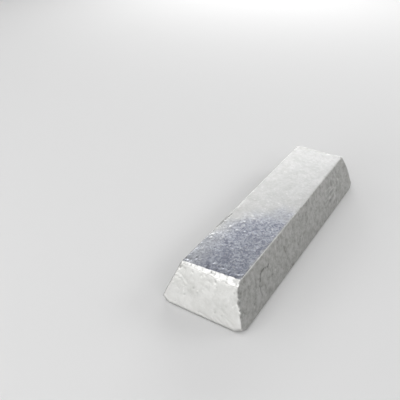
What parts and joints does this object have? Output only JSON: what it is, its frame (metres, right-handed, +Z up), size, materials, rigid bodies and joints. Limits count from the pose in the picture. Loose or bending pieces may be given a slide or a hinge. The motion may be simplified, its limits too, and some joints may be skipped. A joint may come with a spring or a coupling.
{
  "type": "magnesium ingot",
  "caption": "Long cast bar of magnesium with sloping walls: the wide open-poured face lies down, the narrow mould face is up, and the top edge of one end is knocked down.",
  "frame": {"origin": "centre of the wide face that the ingot lies on", "axes": "+X along the length, away from the end with the knocked-down edge; +Y across the width; +Z up, out of the narrow face. The long side seen in the picture faces -Y"},
  "size_m": [0.5039, 0.1498, 0.074],
  "materials": {
    "magnesium": "as cast: dull pale grey with a mottled bluish bloom on the narrow face and brighter worn edges"
  },
  "bodies": {
    "root": {"ingot": "magnesium"}
  },
  "joints": []
}
